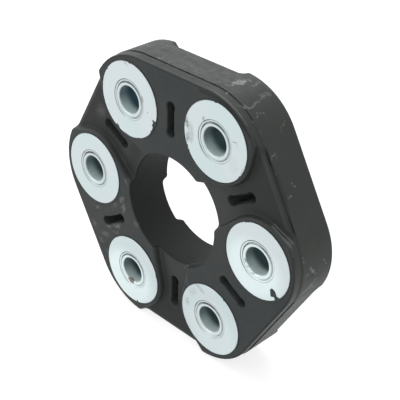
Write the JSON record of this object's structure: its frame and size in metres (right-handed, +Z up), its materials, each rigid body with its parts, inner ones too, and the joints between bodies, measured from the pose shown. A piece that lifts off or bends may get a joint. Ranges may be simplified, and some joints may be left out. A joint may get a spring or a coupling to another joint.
{
  "type": "flexible shaft coupling",
  "caption": "Flexible disc coupling for a drive shaft: a hexagonal moulded rubber body with steel bushings on one bolt circle, joined by cord loops inside the rubber.",
  "frame": {"origin": "on the shaft axis at half thickness, the centre of the disc", "axes": "Y along the shaft axis with the front towards -Y, +Z up from the flat that the disc stands on, +X to the right seen from the front"},
  "size_m": [0.1392, 0.0234, 0.1286],
  "materials": {
    "rubber": "moulded satin black, dusty and scuffed",
    "zinc_plated_steel": "pale bluish zinc plate, satin",
    "bright_sleeve_steel": "zinc-plated drawn tube, a little brighter than the collars",
    "cord": "wound polyester cord, hidden in the rubber"
  },
  "bodies": {
    "root": {"rubber_body": "rubber", "sleeve_1": "bright_sleeve_steel", "front_collar_1": "zinc_plated_steel", "rear_collar_1": "zinc_plated_steel", "middle_ring_1": "zinc_plated_steel", "reinforcement_loop_1": "cord", "sleeve_2": "bright_sleeve_steel", "front_collar_2": "zinc_plated_steel", "rear_collar_2": "zinc_plated_steel", "middle_ring_2": "zinc_plated_steel", "reinforcement_loop_2": "cord", "sleeve_3": "bright_sleeve_steel", "front_collar_3": "zinc_plated_steel", "rear_collar_3": "zinc_plated_steel", "middle_ring_3": "zinc_plated_steel", "reinforcement_loop_3": "cord", "sleeve_4": "bright_sleeve_steel", "front_collar_4": "zinc_plated_steel", "rear_collar_4": "zinc_plated_steel", "middle_ring_4": "zinc_plated_steel", "reinforcement_loop_4": "cord", "sleeve_5": "bright_sleeve_steel", "front_collar_5": "zinc_plated_steel", "rear_collar_5": "zinc_plated_steel", "middle_ring_5": "zinc_plated_steel", "reinforcement_loop_5": "cord", "sleeve_6": "bright_sleeve_steel", "front_collar_6": "zinc_plated_steel", "rear_collar_6": "zinc_plated_steel", "middle_ring_6": "zinc_plated_steel", "reinforcement_loop_6": "cord"}
  },
  "joints": []
}
